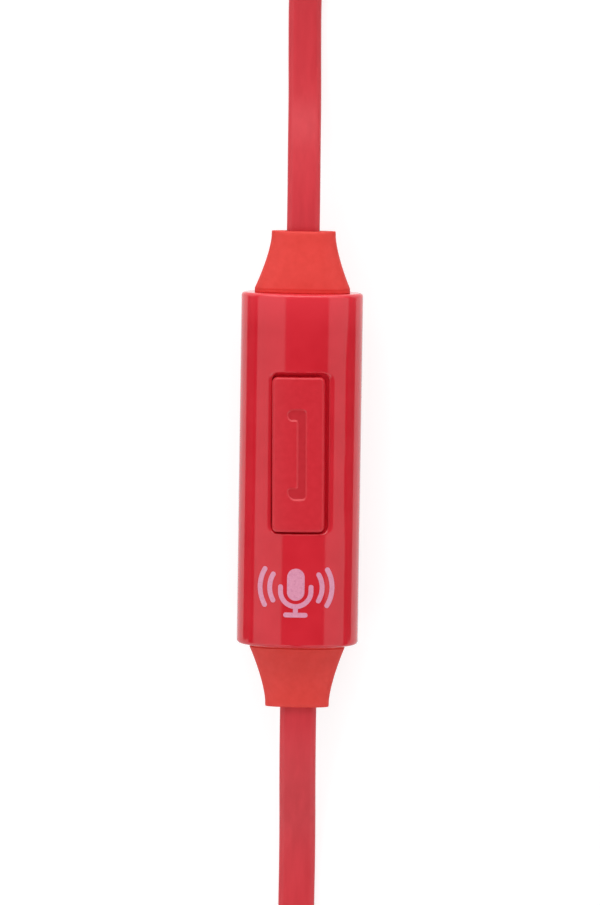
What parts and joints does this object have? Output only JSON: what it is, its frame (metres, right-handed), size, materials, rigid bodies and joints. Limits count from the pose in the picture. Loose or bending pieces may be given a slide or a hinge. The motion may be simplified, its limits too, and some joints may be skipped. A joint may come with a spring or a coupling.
{
  "type": "wired earphones",
  "caption": "In-ear wired earphones with a flat cord and a slim in-line remote whose long button presses in.",
  "frame": {"origin": "centre of the in-line remote's flat back, on the table", "axes": "+Y along the remote towards the splitter and the earbuds' cords, +X across the remote, +Z out of the button's face"},
  "size_m": [0.0724, 0.1015, 0.012],
  "materials": {
    "gloss_red_shell": "polished, bright red",
    "satin_red_button": "fine satin, red",
    "rubber_red": "matte orange-red elastomer",
    "cord_red": "satin red cord jacket",
    "board_green": "solder mask",
    "black_plastic": "moulded black",
    "dark_silicone": "soft matte silicone",
    "steel": "fine brushed",
    "gold_contact": "bright plated",
    "copper_wire": "enamelled winding",
    "film": "thin moulded film",
    "strap": "dark woven strap"
  },
  "bodies": {
    "earphones": {"remote_front_shell": "gloss_red_shell", "remote_back_shell": "gloss_red_shell", "remote_upper_strain_relief": "rubber_red", "remote_lower_strain_relief": "rubber_red", "remote_circuit_board": "board_green", "remote_switch_base": "black_plastic", "remote_switch_dome": "steel", "remote_microphone": "steel", "remote_microphone_gasket": "black_plastic", "remote_upper_cord_anchor": "black_plastic", "remote_lower_cord_anchor": "black_plastic", "upper_lead": "cord_red", "lower_lead": "cord_red", "lower_lead_coil": "cord_red", "lower_lead_end": "cord_red", "right_strand": "cord_red", "right_strand_coil": "cord_red", "right_strand_end": "cord_red", "left_strand": "cord_red", "left_strand_coil": "cord_red", "left_strand_end": "cord_red", "lead_coil_tie": "strap", "strand_coil_tie": "strap", "splitter_front_shell": "gloss_red_shell", "splitter_back_shell": "gloss_red_shell", "splitter_core": "rubber_red", "plug_strain_relief": "rubber_red", "plug_cover": "gloss_red_shell", "plug_tip": "gold_contact", "plug_tip_insulator": "black_plastic", "plug_ring_1": "gold_contact", "plug_middle_insulator": "black_plastic", "plug_ring_2": "gold_contact", "plug_rear_insulator": "black_plastic", "plug_sleeve": "gold_contact", "right_ear_tip": "dark_silicone", "right_nozzle_screen": "steel", "right_front_housing": "gloss_red_shell", "right_diaphragm": "film", "right_voice_coil": "copper_wire", "right_driver_frame": "black_plastic", "right_magnet": "steel", "right_magnet_cup": "steel", "right_rear_housing": "gloss_red_shell", "right_end_cap": "rubber_red", "right_strain_relief": "rubber_red", "left_ear_tip": "dark_silicone", "left_nozzle_screen": "steel", "left_front_housing": "gloss_red_shell", "left_diaphragm": "film", "left_voice_coil": "copper_wire", "left_driver_frame": "black_plastic", "left_magnet": "steel", "left_magnet_cup": "steel", "left_rear_housing": "gloss_red_shell", "left_end_cap": "rubber_red", "left_strain_relief": "rubber_red"},
    "button": {"remote_button": "satin_red_button"}
  },
  "joints": [
    {"name": "button_press", "type": "slide", "parent": "earphones", "child": "button", "axis": [0, 0, -1], "range_m": [0, 0.00025], "stiffness_N_per_m": 4000}
  ]
}
